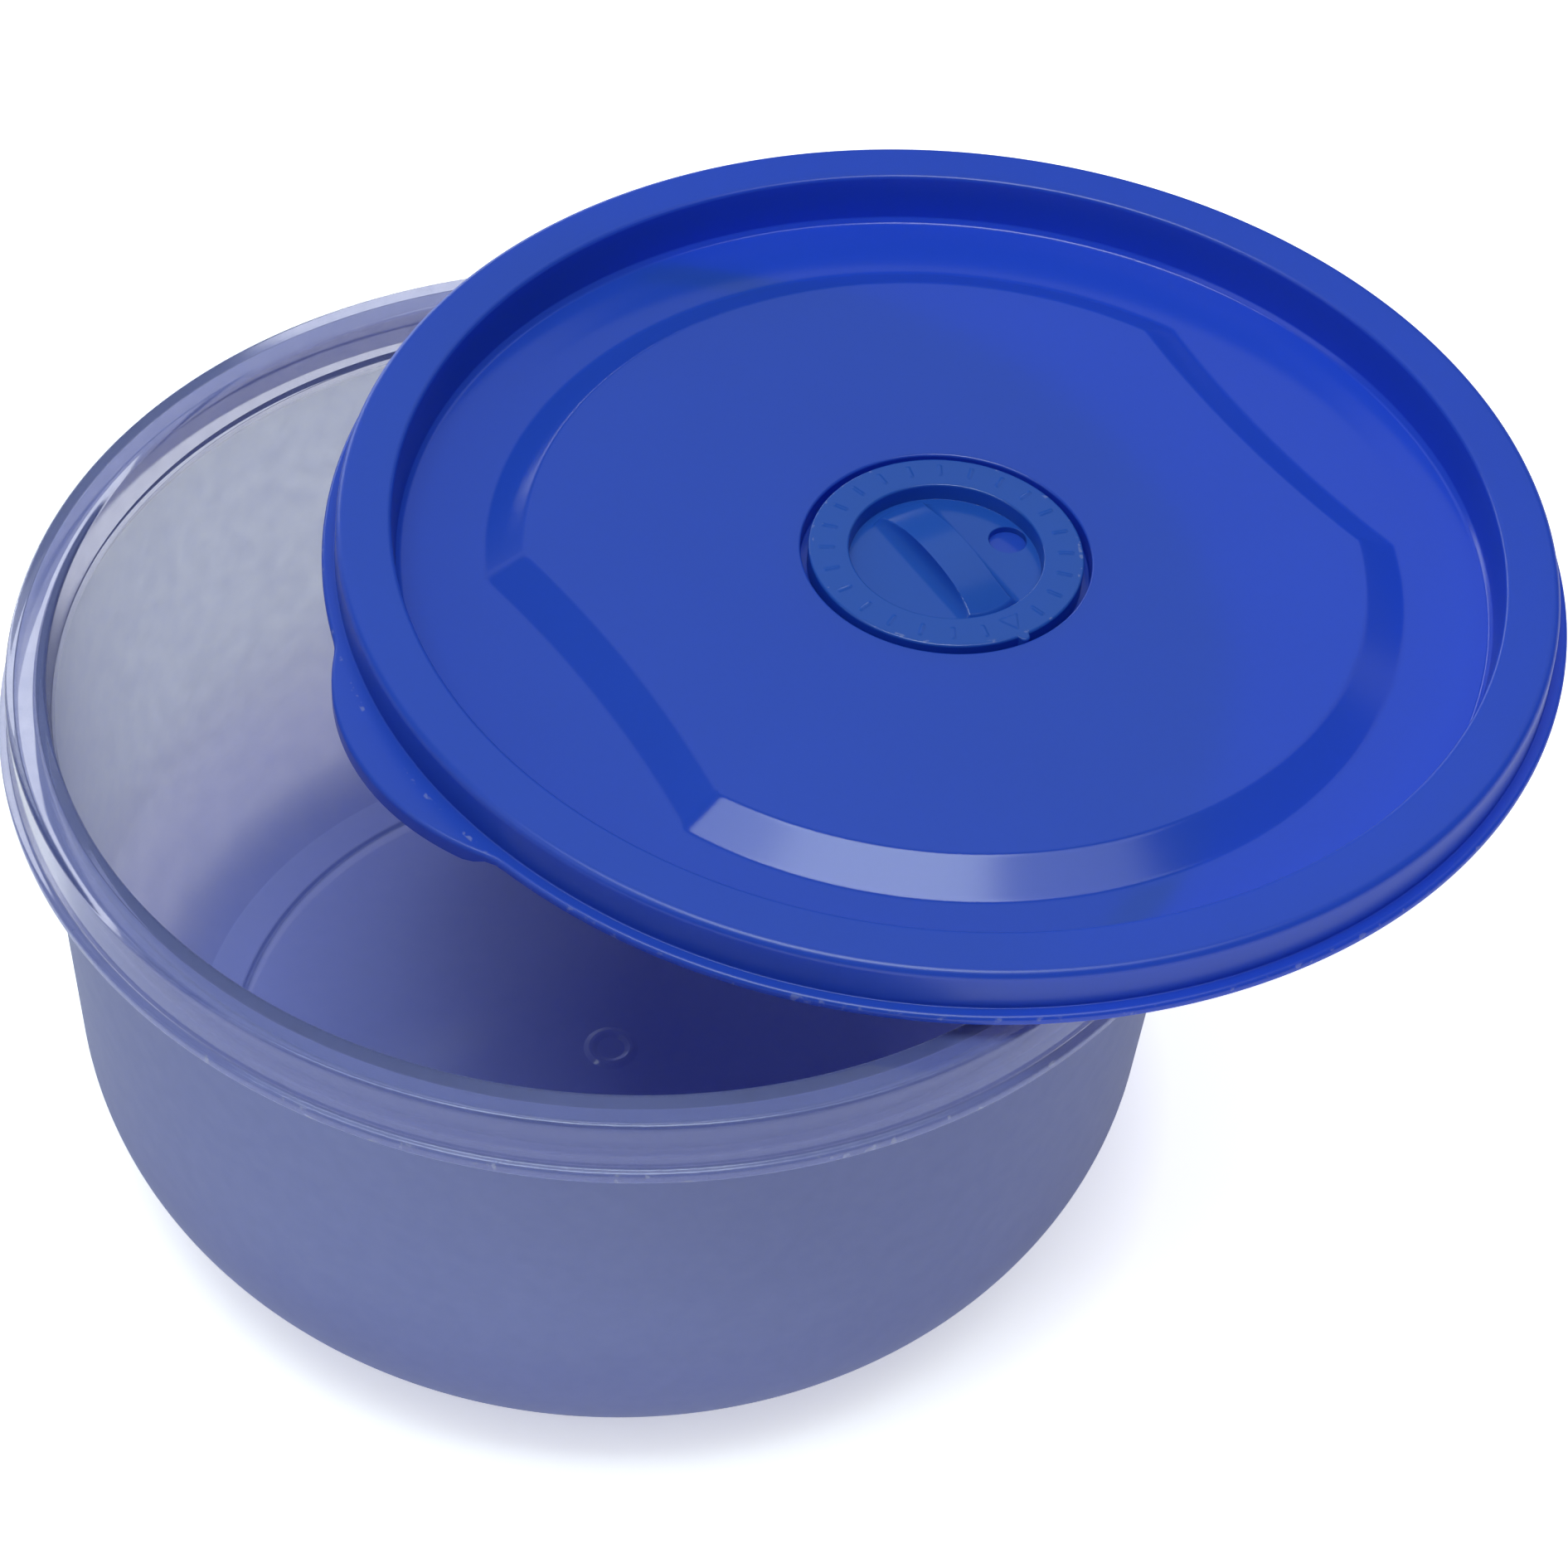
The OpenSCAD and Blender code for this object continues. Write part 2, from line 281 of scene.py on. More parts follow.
# Heights are from the top of the lid
LID_COLUMNS = 360
LIP_R = 109.4
SKIRT_R = 107.1
BAND_R = 97.3
LIP_TOP, LIP_BOTTOM = -7.4, -8.9
TRAY_Z, TRAY_UNDER = -11.1, -12.3
PLATEAU_Z, PLATEAU_UNDER = -7.3, -8.5
PLATEAU_R, FLANK_X, FLANK_R = 81.4, 71.4, 240.0
BEVEL_W, BEVEL_H = 7.2, 3.8
DISH_H, DISH_R = 1.1, 27.6
TAB_R, TAB_X, TAB_DROP = 46.9, 68.2, 1.8
WELL_R, WELL_FLOOR, WELL_UNDER = 25.8, -12.6, -13.9
BORE_R, BOSS_R, BOSS_UNDER = 3.05, 6.0, -16.4
VENT_R, VENT_X = 3.4, 13.4
LID_T = 1.2
# How far up and how far down the raised middle's bevel each of its rings is
BEVEL_RINGS = [
    (1.1, 0), (1.06, 0.0), (1.03, 0.02), (1.0, 0.08), (0.96, 0.19), (0.9, 0.4), (0.12, 3.36),
    (0.06, 3.56), (0.02, 3.68), (-0.02, 3.75), (-0.07, 3.79), (-0.14, BEVEL_H), (-0.3, BEVEL_H),
]


def plateau_edge(t, angles):
    """Distance to the edge of the raised middle, t = 0 at its foot and 1 at its top: a circle,
    with a hollow flank on either side."""
    edge_r, flank_r = PLATEAU_R - BEVEL_W * t, FLANK_R + BEVEL_W * t
    centre = FLANK_X + FLANK_R
    across = np.maximum(np.abs(np.cos(angles)), 1e-6)
    inside = flank_r ** 2 - (centre * np.sin(angles)) ** 2
    flank = np.where(inside > 0, centre * across - np.sqrt(np.maximum(inside, 0)), 999)
    return np.minimum(edge_r, flank)


def plateau_corner(t):
    """Angle at which the circle of the raised middle meets its flank."""
    low, high = 0.2, 0.8
    for _ in range(40):
        middle = (low + high) / 2
        on_circle = plateau_edge(t, np.array([middle]))[0] >= PLATEAU_R - BEVEL_W * t - 1e-9
        low, high = (low, middle) if on_circle else (middle, high)
    return (low + high) / 2


def plateau_ring(t, z, columns):
    """A ring along the edge of the raised middle. The mesh's columns meet its four corners."""
    corner = plateau_corner(t)
    per_turn = columns / (2 * math.pi)
    snapped = round(plateau_corner(0.5) * per_turn) / per_turn
    u = np.linspace(0, 2 * math.pi, columns, endpoint=False)
    knots = [0, snapped, math.pi - snapped, math.pi + snapped, 2 * math.pi - snapped, 2 * math.pi]
    at = [0, corner, math.pi - corner, math.pi + corner, 2 * math.pi - corner, 2 * math.pi]
    angles = np.interp(u, knots, at)
    return circle(plateau_edge(t, angles), z, angles)


def lip_radius(angles):
    """The lip's outline: a circle with the pull tab's flatter arc standing out on one side."""
    turn = (angles + math.pi) % (2 * math.pi) - math.pi
    inside = np.maximum(TAB_R ** 2 - (TAB_X * np.sin(turn)) ** 2, 0)
    tab = np.where(np.abs(turn) < 0.6, TAB_X * np.cos(turn) + np.sqrt(inside), 0)
    return soft_max(np.full(len(angles), LIP_R), tab, 0.7)


def lip_rings(angles):
    """Over the lip's edge and back under it. The tab's edge turns down."""
    edge = lip_radius(angles)
    tab = smoothstep(0.3, 2.0, edge - LIP_R)
    drop = 0.02 + TAB_DROP * tab
    rings = [circle(edge - d, LIP_TOP, angles) for d in (1.4, 0.9)]
    for a in np.linspace(90, 0, 7):
        c, s = math.cos(math.radians(a)), math.sin(math.radians(a))
        rings.append(circle(edge - 0.8 + 0.8 * c, LIP_TOP - 0.8 + 0.8 * s, angles))
    low = LIP_BOTTOM - drop
    rings.append(circle(edge, LIP_TOP - 0.9, angles))
    for a in np.linspace(0, -90, 5):
        c, s = math.cos(math.radians(a)), math.sin(math.radians(a))
        rings.append(circle(edge - 0.25 + 0.25 * c, low + 0.25 + 0.25 * s, angles))
    rings += [
        circle(edge - 0.4, low, angles), circle(edge - 1.2, low, angles),
        circle(edge - 1.4, low + 0.2 * tab, angles), circle(edge - 1.5, LIP_BOTTOM - 0.01, angles),
        circle(edge - 1.7, LIP_BOTTOM, angles),
    ]
    return rings


def dished(edge, low, steps=10):
    """Rings that run down from the raised middle's top edge to the flat round the dial's well."""
    top = edge[0, 2]
    reach = np.hypot(edge[:, 0], edge[:, 1])[:, None]
    unit = edge[:, :2] / reach
    rings = []
    for k in range(1, steps + 1):
        t = k / (steps + 1)
        radius = DISH_R + 0.8 + (reach - DISH_R - 0.8) * t
        rings.append(np.column_stack([unit * radius, np.full(len(edge), low + (top - low) * t)]))
    return rings


def lid_shell():
    angles = np.linspace(0, 2 * math.pi, LID_COLUMNS, endpoint=False)
    dish = PLATEAU_Z - DISH_H
    well_wall = rounded([(WELL_R - 1.2, WELL_FLOOR), (WELL_R, WELL_FLOOR, 0.3), (WELL_R, dish, 0.45),
                         (WELL_R + 1.5, dish)])
    band = rounded([(84.6, TRAY_Z), (90.3, TRAY_Z, 30), (95.9, -10.25, 0.9), (96.65, -9.3, 0.8),
                    (BAND_R, 0, 0.9), (106.8, 0, 1.5), (SKIRT_R, LIP_TOP, 0.35), (107.6, LIP_TOP)],
                   steps=8)
    under = rounded([(107.3, LIP_BOTTOM), (106.0, LIP_BOTTOM, 0.2), (105.7, -LID_T, 1.2),
                     (98.4, -LID_T, 1.3), (97.75, -9.2, 0.5), (97.1, -10.6, 0.6),
                     (95.5, TRAY_UNDER, 0.8), (85, TRAY_UNDER)])
    stub = rounded([(28.4, PLATEAU_UNDER - DISH_H), (27.0, PLATEAU_UNDER - DISH_H, 0.4),
                    (27.0, WELL_UNDER, 0.3), (26, WELL_UNDER)])
    boss = rounded([(7.2, WELL_UNDER), (BOSS_R, WELL_UNDER, 0.3), (BOSS_R, BOSS_UNDER, 0.3),
                    (BORE_R, BOSS_UNDER, 0.2), (BORE_R, WELL_FLOOR, 0.2), (BORE_R + 1.2, WELL_FLOOR)])
    rings = turned(well_wall, angles)
    edge = [plateau_ring(t, PLATEAU_Z - d, LID_COLUMNS) for t, d in BEVEL_RINGS]
    rings += dished(edge[0], rings[-1][0, 2]) + edge
    rings += turned(band, angles) + lip_rings(angles) + turned(under, angles)
    edge = [plateau_ring(t, PLATEAU_UNDER - d, LID_COLUMNS) for t, d in reversed(BEVEL_RINGS)]
    rings += edge + dished(edge[-1], stub[0][1])[::-1]
    rings += turned(stub, angles)
    shell = Shell()
    shell.loft(rings)
    hub_angles = angles[:: 5]
    hub = turned(boss, hub_angles)
    shell.loft(hub)
    # the steam hole in the well's floor, a quarter turn on from the dial's own
    hole = circle(VENT_R, 0, hub_angles) + (0, -VENT_X, 0)
    shell.loft([hole + (0, 0, WELL_FLOOR), hole + (0, 0, WELL_UNDER)])
    shell.patch([rings[0], hub[-1], hole], [], lambda x, y: np.full(len(x), WELL_FLOOR))
    shell.patch([rings[-1], hub[0], hole], [], lambda x, y: np.full(len(x), WELL_UNDER), flip=True)
    place = Matrix.Translation(LID_AXIS + UP * LID_TOP) @ Matrix.Rotation(TAB_ANGLE, 4, "Z")
    return shell.build("lid_shell", place)


# --------------------------------------------------------------- vent dial

DIAL_COLUMNS = 720
DIAL_R, DIAL_UNDER, DIAL_DROP = 24.4, -4.45, 8.1
CUP_R, CUP_Z = 17.3, -3.2
NIB_R, NIB_X = 1.0, 24.6
NIB_ANGLE = math.radians(90)
GRIP_W, GRIP_RISE, GRIP_ARCH, GRIP_END = 7.5, 0.8, 41.0, 15.7
SCOOP_R, SCOOP_Z = 3.8, 0.4
TICK_STEP, TICK_HEIGHT = 15, 0.14


def dial_edge(angles):
    """The dial's outline, with the small nib that turns between the stops."""
    turn = (angles - NIB_ANGLE + math.pi) % (2 * math.pi) - math.pi
    inside = np.maximum(NIB_R ** 2 - (NIB_X * np.sin(turn)) ** 2, 0)
    nib = np.where(np.abs(turn) < NIB_R / NIB_X, NIB_X * np.cos(turn) + np.sqrt(inside), 0)
    return np.maximum(DIAL_R, nib)


def dial_marks(x, y):
    """Height of the raised marks on the ring: plain ticks, and a pointer at the nib."""
    r, a = np.hypot(x, y), np.degrees(np.arctan2(y, x)) - math.degrees(NIB_ANGLE)
    off = (a + TICK_STEP / 2) % TICK_STEP - TICK_STEP / 2
    index = np.round((a - off) / TICK_STEP) % (360 / TICK_STEP)
    along = smoothstep(19.75, 19.95, r) * (1 - smoothstep(22.45, 22.65, r))
    tick = along * (1 - smoothstep(0.2, 0.42, np.abs(np.radians(off)) * r)) * (index != 0)
    side = np.abs(np.radians((a + 180) % 360 - 180)) * r
    width = 1.9 * (1 - (r - 19.4) / 3.4)
    pointer = smoothstep(19.3, 19.5, r) * (1 - smoothstep(width - 0.12, width + 0.12, side)) * (r < 22.9)
    return TICK_HEIGHT * np.maximum(tick, pointer)


def grip_height(x, y):
    """The floor of the finger recess, with the arched grip bar across it."""
    r, side = np.hypot(x, y), np.abs(x)
    top = GRIP_RISE - GRIP_ARCH + np.sqrt(np.maximum(GRIP_ARCH ** 2 - y ** 2, 0))
    scoop_x = GRIP_W / 2 + SCOOP_R
    scooped = SCOOP_Z - np.sqrt(np.maximum(SCOOP_R ** 2 - (scoop_x - side) ** 2, 0))
    steep = SCOOP_Z + (GRIP_W / 2 + 0.06 - side) * 12
    flank = np.where(side < GRIP_W / 2, np.maximum(steep, SCOOP_Z), np.where(side < scoop_x, scooped, -9))
    end = CUP_Z + (GRIP_END - r) * 2.6
    bar = soft_min(soft_min(top, flank, 0.4), end, 0.9)
    return soft_max(bar, np.full(len(x), CUP_Z), 0.25)


def cup_points():
    """Points to hang the recess's surface on, close together where the grip bar turns."""
    half = np.concatenate([np.arange(0, 3.2, 0.5), np.arange(3.2, 4.5, 0.1), np.arange(4.5, 6.8, 0.25),
                           np.arange(6.8, 17, 0.8)])
    xs = np.unique(np.round(np.concatenate([-half, half]), 4))
    ends = np.concatenate([np.arange(0, 12.5, 0.5), np.arange(12.5, 15.6, 0.16), np.arange(15.6, 17, 0.5)])
    ys = np.unique(np.round(np.concatenate([-ends, ends]), 4))
    return [
        (x, y) for x in xs for y in ys
        if math.hypot(x, y) < CUP_R - 0.9 and math.hypot(x + VENT_X, y) > VENT_R + 0.25
    ]


def vent_dial():
    angles = np.linspace(0, 2 * math.pi, DIAL_COLUMNS, endpoint=False)
    cup_wall = rounded([(CUP_R - 0.33, CUP_Z), (CUP_R - 0.25, CUP_Z, 0.06), (CUP_R, 0, 0.4), (19.2, 0)])
    face = [(r, 0) for r in (19.35, 19.5, *np.arange(19.65, 22.85, 0.2), 23.0)]
    rim = rounded([(23.1, 0), (DIAL_R, 0, 0.45), (DIAL_R, DIAL_UNDER, 0.2), (23.2, DIAL_UNDER)])
    under = rounded([(23.2, DIAL_UNDER), (23.2, -1.2, 0.3), (18.8, -1.2, 0.3), (18.8, DIAL_UNDER, 0.2),
                     (18.0, DIAL_UNDER)])
    pin = rounded([(4.0, DIAL_UNDER), (3.0, DIAL_UNDER, 0.2), (3.0, -8.35, 0.1), (3.9, -8.35, 0.15),
                   (3.9, -8.75, 0.2), (2.4, -10.55, 0.3), (0.6, -10.55)])
    rings = turned(cup_wall, angles)
    for r, z in face:
        ring = circle(r, z, angles)
        ring[:, 2] += dial_marks(ring[:, 0], ring[:, 1])
        rings.append(ring)
    edge = dial_edge(angles) - DIAL_R
    rings += [circle(r + edge * min(1, max(0, (r - 23.9) / 0.3)), z, angles) for r, z in rim]
    rings += turned(under[1:], angles)
    shell = Shell()
    shell.loft(rings)
    hub_angles = angles[:: 15]
    stem = turned(pin, hub_angles)
    shell.loft(stem)
    shell.cap(stem[-1], flip=True)
    hole = circle(VENT_R, 0, angles[:: 12]) + (-VENT_X, 0, 0)
    lip = circle(VENT_R + 0.12, 0, angles[:: 12]) + (-VENT_X, 0, 0)
    shell.loft([lip + (0, 0, CUP_Z), hole + (0, 0, CUP_Z - 0.12), hole + (0, 0, DIAL_UNDER)])
    shell.patch([rings[0], lip], cup_points(), grip_height)
    shell.patch([rings[-1], stem[0], hole], [], lambda x, y: np.full(len(x), DIAL_UNDER), flip=True)
    seat = Matrix.Translation(LID_AXIS + UP * (LID_TOP - DIAL_DROP * MM))
    return shell.build("vent_dial_body", seat @ Matrix.Rotation(TAB_ANGLE, 4, "Z"))


# --------------------------------------------------------------- materials

SKIN_REFLECTION = 0.04
GRAIN_DEPTH = 0.1 * MM
SCUFF_SCALE = 420

LID_TINT, DIAL_TINT = (0.025, 0.090, 0.56), (0.022, 0.112, 0.53)
LID_GLOW, LID_GLOW_SHARE = (0.006, 0.07, 0.8), 0.4
# Lighter colour for short dashes along the lid's and dial's outer edges: scuffed there, and painted
# lighter as glints
LID_GLINT = (0.32, 0.38, 0.66)
DIAL_DASH_R = DIAL_R - 0.55

# The milky part of the bowl's plastic, and the light that comes through it
# The milk is painted darker on the outer face and lighter on the inner face: painted shade and painted
# light
MILK_SHADED_OUTSIDE, MILK_LIT_INSIDE = (0.115, 0.155, 0.42), (0.30, 0.345, 0.77)
MILK_RIM, MILK_THICK = (0.17, 0.215, 0.58), (0.06, 0.11, 0.42)
# Below, the second colour paints short dashes along the bowl lip's edge lighter, as painted glints
MILK_CLOUD, MILK_GLINT = (0.5, 0.55, 0.9), (0.85, 0.88, 0.95)
MILK_THROUGH, MILK_THROUGH_SHARE = (0.48, 0.52, 0.76), 0.22
# The clear part of it
CLEAR_LOW, CLEAR_HIGH, CLEAR_RIM = (0.79, 0.775, 0.84), (0.91, 0.91, 0.90), (0.88, 0.87, 0.92)
# Where the rim's plastic takes over from the wall's, going up
RIM_FROM, RIM_FULL = RIM_TOP - 13.5 * MM, RIM_TOP - 11.0 * MM

# The floor glows; its glow is taken out under the bowl, a painted shade beneath it, and is full beyond it
FLOOR_COLOUR, FLOOR_GLOW = (0.82, 0.83, 0.84), 0.85
GLOW_FROM, GLOW_FULL = 0.05, 0.108


class Graph:
    """The nodes of one new material. A value is a number, a colour or another node's output."""

    def __init__(self, name):
        self.material = bpy.data.materials.new(name)
        self.material.use_nodes = True
        self.nodes, self.links = self.material.node_tree.nodes, self.material.node_tree.links
        self.nodes.clear()
        self.place = self.add("TexCoord").outputs["Object"]

    def add(self, kind, inputs=None, **settings):
        node = self.nodes.new("ShaderNode" + kind)
        for name, value in settings.items():
            setattr(node, name, value)
        for key, value in (inputs or {}).items():
            socket = node.inputs[key]
            if isinstance(value, bpy.types.NodeSocket):
                self.links.new(value, socket)
            elif socket.type == "RGBA":
                socket.default_value = (*value, 1)
            else:
                socket.default_value = value
        return node

    def finish(self, shader):
        self.add("OutputMaterial", {"Surface": shader})
        return self.material

    def maths(self, operation, *values):
        return self.add("Math", dict(enumerate(values)), operation=operation).outputs[0]

    def ranged(self, value, low, high, from_low=0.0, from_high=1.0):
        """value carried from one range to another."""
        limits = {"From Min": from_low, "From Max": from_high, "To Min": low, "To Max": high}
        return self.add("MapRange", {"Value": value, **limits}).outputs["Result"]

    def noise(self, scale, detail=2.0):
        inputs = {"Vector": self.place, "Scale": scale, "Detail": detail}
        return self.add("TexNoise", inputs).outputs["Fac"]

    def blended(self, factor, first, second):
        """A colour between two colours."""
        return self.add("Mix", {0: factor, 6: first, 7: second}, data_type="RGBA").outputs[2]

    def mixed(self, factor, first, second):
        """One shader over another."""
        return self.add("MixShader", {0: factor, 1: first, 2: second}).outputs["Shader"]

    def axis_distance(self, axis):
        """Distance from an upright axis, in metres."""
        offset = {0: self.place, 1: (1, 1, 0), 2: (-axis.x, -axis.y, 0)}
        flat = self.add("VectorMath", offset, operation="MULTIPLY_ADD").outputs["Vector"]
        return self.add("VectorMath", {0: flat}, operation="LENGTH").outputs["Value"]

    def band(self, axis, radius, full, faded):
        """1 within full of a radius about an upright axis, and 0 beyond faded. In millimetres."""
        away = self.maths("SUBTRACT", self.axis_distance(axis), radius * MM)
        return self.ranged(self.maths("ABSOLUTE", away), 1, 0, full * MM, faded * MM)

    def scuffs_and_glints(self, axis, radius, cover):
        """Short dashes on the edge at a radius about an upright axis: scuff marks, also used as painted
        glints.
        """
        worn_and_glinting = self.ranged(self.noise(SCUFF_SCALE, 3), 0, 1, cover, cover + 0.06)
        return self.maths("MULTIPLY", worn_and_glinting, self.band(axis, radius, 0.2, 0.45))

    def grain(self, scale, strength):
        """The fine texture of the mould."""
        inputs = {"Height": self.noise(scale), "Strength": strength, "Distance": GRAIN_DEPTH}
        return self.add("Bump", inputs).outputs["Normal"]

    def glazed(self, base, roughness, normal):
        """A clear skin over a shader. It reflects more towards grazing angles, least where rough."""
        skin = self.add("BsdfGlossy", {"Roughness": roughness, "Normal": normal}).outputs["BSDF"]
        facing = self.add("LayerWeight", {"Blend": 0.5, "Normal": normal}).outputs["Facing"]
        even = self.maths("POWER", self.maths("SUBTRACT", 1.0, roughness), 3.0)
        grazing = self.maths("MULTIPLY", self.maths("POWER", facing, 5.0), even)
        share = self.maths("MULTIPLY_ADD", grazing, 1 - SKIN_REFLECTION, SKIN_REFLECTION)
        return self.mixed(share, base, skin)


def lid_plastic(name, tint, edge_r):
    """Solid cobalt polypropylene with a fine moulded grain, rubbed duller on the raised band and scuffed
    along its outer edge in short dashes, which are rougher and painted lighter as glints. Some blue light
    comes through it."""
    g = Graph(name)
    cloud = g.noise(28, 3)
    patchy = g.maths("ADD", cloud, g.maths("MULTIPLY", g.noise(900, 2), 0.6))
    colour = g.blended(patchy, tint, [1.10 * c for c in tint])
    worn_and_glinting = g.scuffs_and_glints(LID_AXIS, edge_r, 0.60)
    # the edge's dashes painted lighter, as glints
    colour = g.blended(g.maths("MULTIPLY", worn_and_glinting, 0.5), colour, LID_GLINT)
    rubbed = g.ranged(g.axis_distance(LID_AXIS), 0, 1, (BAND_R - 1) * MM, (BAND_R + 0.5) * MM)
    rough = g.maths("ADD", g.ranged(cloud, 0.14, 0.19), g.maths("MULTIPLY", worn_and_glinting, 0.25))
    rough = g.maths("MULTIPLY_ADD", rubbed, 0.14, rough)
    normal = g.grain(2200, 0.06)
    body = g.add("BsdfPrincipled", {
        "Base Color": colour, "Roughness": 0.6, "Specular IOR Level": 0, "Normal": normal,
    }).outputs["BSDF"]
    glow = g.add("BsdfTranslucent", {"Color": LID_GLOW}).outputs["BSDF"]
    return g.finish(g.glazed(g.mixed(LID_GLOW_SHARE, body, glow), rough, normal))


def bowl_plastic():
    """Translucent polypropylene: frosted outside, smooth inside, bluer and glossier at the rim, and denser
    in its thicker floor. Its outer face is painted darker as shade and its inner face lighter as light.
    The edge of its lip has short dashes painted lighter as glints."""
    g = Graph("bowl_plastic")
    axis = Vector((0, 0, 0))
    height = g.add("SeparateXYZ", {"Vector": g.place}).outputs["Z"]
    inside = g.add("Attribute", attribute_name="inside").outputs["Fac"]
    rim = g.ranged(height, 0, 1, RIM_FROM, RIM_FULL)
    # 1 on the inner face and the rim, which are smoother, and where the milk is painted lighter as light
    smooth = g.maths("MAXIMUM", rim, inside)
    normal = g.grain(1500, 0.04)
    # the colour of the milky part: painted darker on the outer face as shade and lighter on the inner face
    # as light, a little cloudy, and deeper where the foot ring thickens the floor
    colour = g.blended(smooth, MILK_SHADED_OUTSIDE, MILK_LIT_INSIDE)
    colour = g.blended(g.ranged(g.noise(22, 3), 0, 0.12), colour, MILK_CLOUD)
    colour = g.blended(rim, colour, MILK_RIM)
    low = g.ranged(height, 1, 0, 0.003, 0.004)
    thick = g.maths("MULTIPLY", g.maths("MULTIPLY", g.band(axis, FOOT_R, 0.35, 1.1), low), 0.75)
    colour = g.blended(thick, colour, MILK_THICK)
    # short dashes along the lip's edge painted lighter, as glints
    worn_and_glinting = g.maths("MULTIPLY", g.scuffs_and_glints(axis, BOWL_LIP_R, 0.61), 0.55)
    colour = g.blended(worn_and_glinting, colour, MILK_GLINT)
    body = g.add("BsdfPrincipled", {
        "Base Color": colour, "Specular IOR Level": 0, "Normal": normal,
    }).outputs["BSDF"]
    through = g.add("BsdfTranslucent", {"Color": MILK_THROUGH}).outputs["BSDF"]
    milk = g.mixed(MILK_THROUGH_SHARE, body, through)
    # the clear part: a little bluer low down
    thin = g.ranged(height, 0, 1, 0.015, 0.045)
    tone = g.blended(thin, CLEAR_LOW, CLEAR_HIGH)
    clear = g.add("BsdfRefraction", {
        "Color": g.blended(rim, tone, CLEAR_RIM), "IOR": g.ranged(rim, 1.12, 1.16),
        "Roughness": g.ranged(rim, 0.38, 0.16),
    }).outputs["BSDF"]
    share = g.maths("ADD", g.ranged(height, 0.12, 0.50, 0.002, 0.010),
                    g.ranged(g.noise(240, 4), -0.03, 0.03, 0.3, 0.7))
    share = g.maths("MULTIPLY_ADD", rim, 0.13, share)
    rough = g.maths("MULTIPLY_ADD", rim, -0.05, g.ranged(smooth, 0.46, 0.13))
    return g.finish(g.glazed(g.mixed(share, milk, clear), rough, normal))


def floor_paper():
    """White acrylic glowing as if over a light box, with no glow from the part that the bowl covers: a
    painted shade under the bowl.
    """
    g = Graph("floor_paper")
    centre = g.add("VectorMath", {0: g.place}, operation="LENGTH").outputs["Value"]
    # the glow fades to nothing under the bowl, a painted shade there
    body = g.add("BsdfPrincipled", {
        "Base Color": FLOOR_COLOUR, "Roughness": 0.9, "Emission Color": (1, 1, 1),
        "Emission Strength": g.ranged(centre, 0, FLOOR_GLOW, GLOW_FROM, GLOW_FULL),
    })
    return g.finish(body.outputs["BSDF"])


# ------------------------------------------------------------------- stage

FLOOR_SIDE = 6.0
PANEL_TINT = (0.93, 1.04, 1.0)
ROOM_STRENGTH = 0.08
# One long softbox overhead, brightest in the middle: name, x from, x to, brightness
SOFTBOX = (("left", -0.78, -0.36, 4.6), ("middle", -0.36, 0.30, 7.8), ("right", 0.30, 0.80, 2.4))
SOFTBOX_Y, SOFTBOX_Z, SOFTBOX_DEPTH = -0.19, 1.5, 0.66


def make_camera():
    data = bpy.data.cameras.new("camera")
    data.lens = CAMERA_LENS
    data.sensor_width = 36
    camera = bpy.data.objects.new("camera", data)
    turn = Matrix.Rotation(math.pi / 2 - CAMERA_PITCH, 4, "X") @ Matrix.Rotation(CAMERA_ROLL, 4, "Z")
    camera.matrix_world = Matrix.Translation(CAMERA_POS) @ turn
    bpy.context.scene.collection.objects.link(camera)
    bpy.context.scene.camera = camera


def make_floor():
    side = FLOOR_SIDE
    corners = [(-side, -side, 0), (side, -side, 0), (side, side, 0), (-side, side, 0)]
    mesh = bpy.data.meshes.new("floor")
    mesh.from_pydata(corners, [], [(0, 1, 2, 3)])
    floor = bpy.data.objects.new("floor", mesh)
    floor.data.materials.append(floor_paper())
    bpy.context.scene.collection.objects.link(floor)


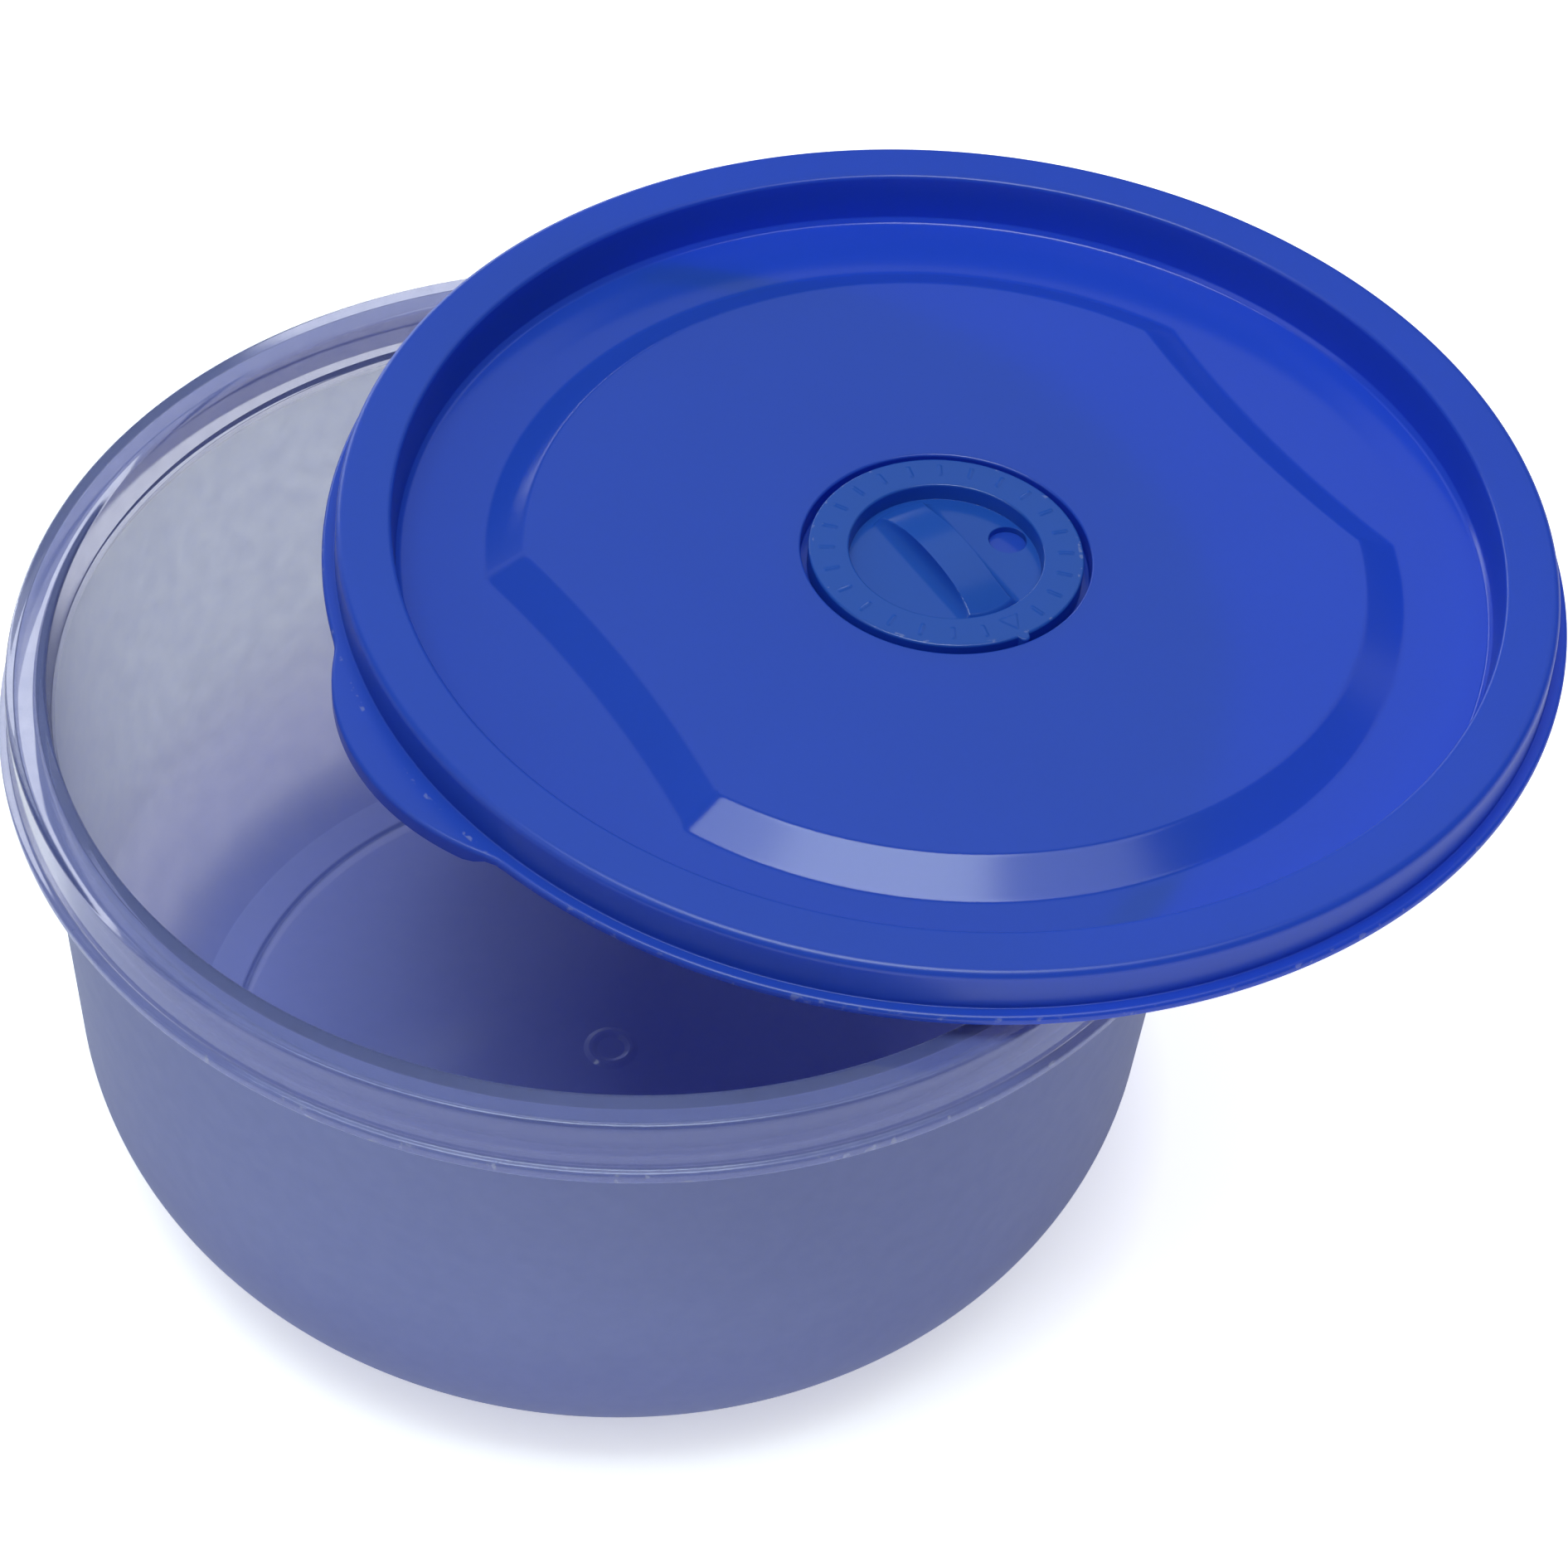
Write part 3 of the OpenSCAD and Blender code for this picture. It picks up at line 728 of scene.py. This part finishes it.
def panel(name, position, target, size, brightness):
    """A flat light, facing its target. Its brightness is its radiance, so 1 looks white."""
    data = bpy.data.lights.new(name, "AREA")
    data.shape = "RECTANGLE"
    data.size, data.size_y = size
    data.energy = brightness * math.pi * size[0] * size[1]
    data.color = PANEL_TINT
    light = bpy.data.objects.new(name, data)
    facing = (Vector(target) - Vector(position)).to_track_quat("-Z", "Y").to_matrix().to_4x4()
    light.matrix_world = Matrix.Translation(position) @ facing
    bpy.context.scene.collection.objects.link(light)


def make_light():
    """A wide softbox overhead, a little towards the viewer, and a tall panel behind. The room is
    dim, but it looks white where the camera sees it directly."""
    world = bpy.data.worlds.new("studio")
    world.use_nodes = True
    nodes, links = world.node_tree.nodes, world.node_tree.links
    room, white = nodes["Background"], nodes.new("ShaderNodeBackground")
    for background, strength in ((room, ROOM_STRENGTH), (white, 1.0)):
        background.inputs["Color"].default_value = (1, 1, 1, 1)
        background.inputs["Strength"].default_value = strength
    shader = nodes.new("ShaderNodeMixShader")
    links.new(nodes.new("ShaderNodeLightPath").outputs["Is Camera Ray"], shader.inputs[0])
    links.new(room.outputs["Background"], shader.inputs[1])
    links.new(white.outputs["Background"], shader.inputs[2])
    links.new(shader.outputs["Shader"], nodes["World Output"].inputs["Surface"])
    bpy.context.scene.world = world
    for name, x0, x1, brightness in SOFTBOX:
        x = (x0 + x1) / 2
        panel("softbox_" + name, (x, SOFTBOX_Y, SOFTBOX_Z), (x, SOFTBOX_Y, 0), (x1 - x0, SOFTBOX_DEPTH),
              brightness)
    panel("left_fill", (-1.2, -0.5, 0.9), (0, 0, 0.05), (0.9, 0.8), 0.9)
    panel("kicker", (-0.6, 1.1, 0.28), (0, 0, 0.08), (1.0, 0.4), 4.5)
    panel("backdrop", (0.0, 1.5, 2.1), (0.0, 0.0, 2.1), (4.4, 2.0), 0.62)


def main():
    make_camera()
    make_floor()
    make_light()
    bowl, lid, dial = bowl_shell(), lid_shell(), vent_dial()
    bowl.data.materials.append(bowl_plastic())
    lid.data.materials.append(lid_plastic("lid_plastic", LID_TINT, LIP_R))
    dial.data.materials.append(lid_plastic("dial_plastic", DIAL_TINT, DIAL_DASH_R))
    for piece, node, slot in ((bowl, "bowl", "bowl_plastic"), (lid, "lid", "lid_plastic"),
                              (dial, "vent_dial", "dial_plastic")):
        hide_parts(node)
        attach(piece, node)
    bpy.context.scene.view_settings.view_transform = "Standard"


main()
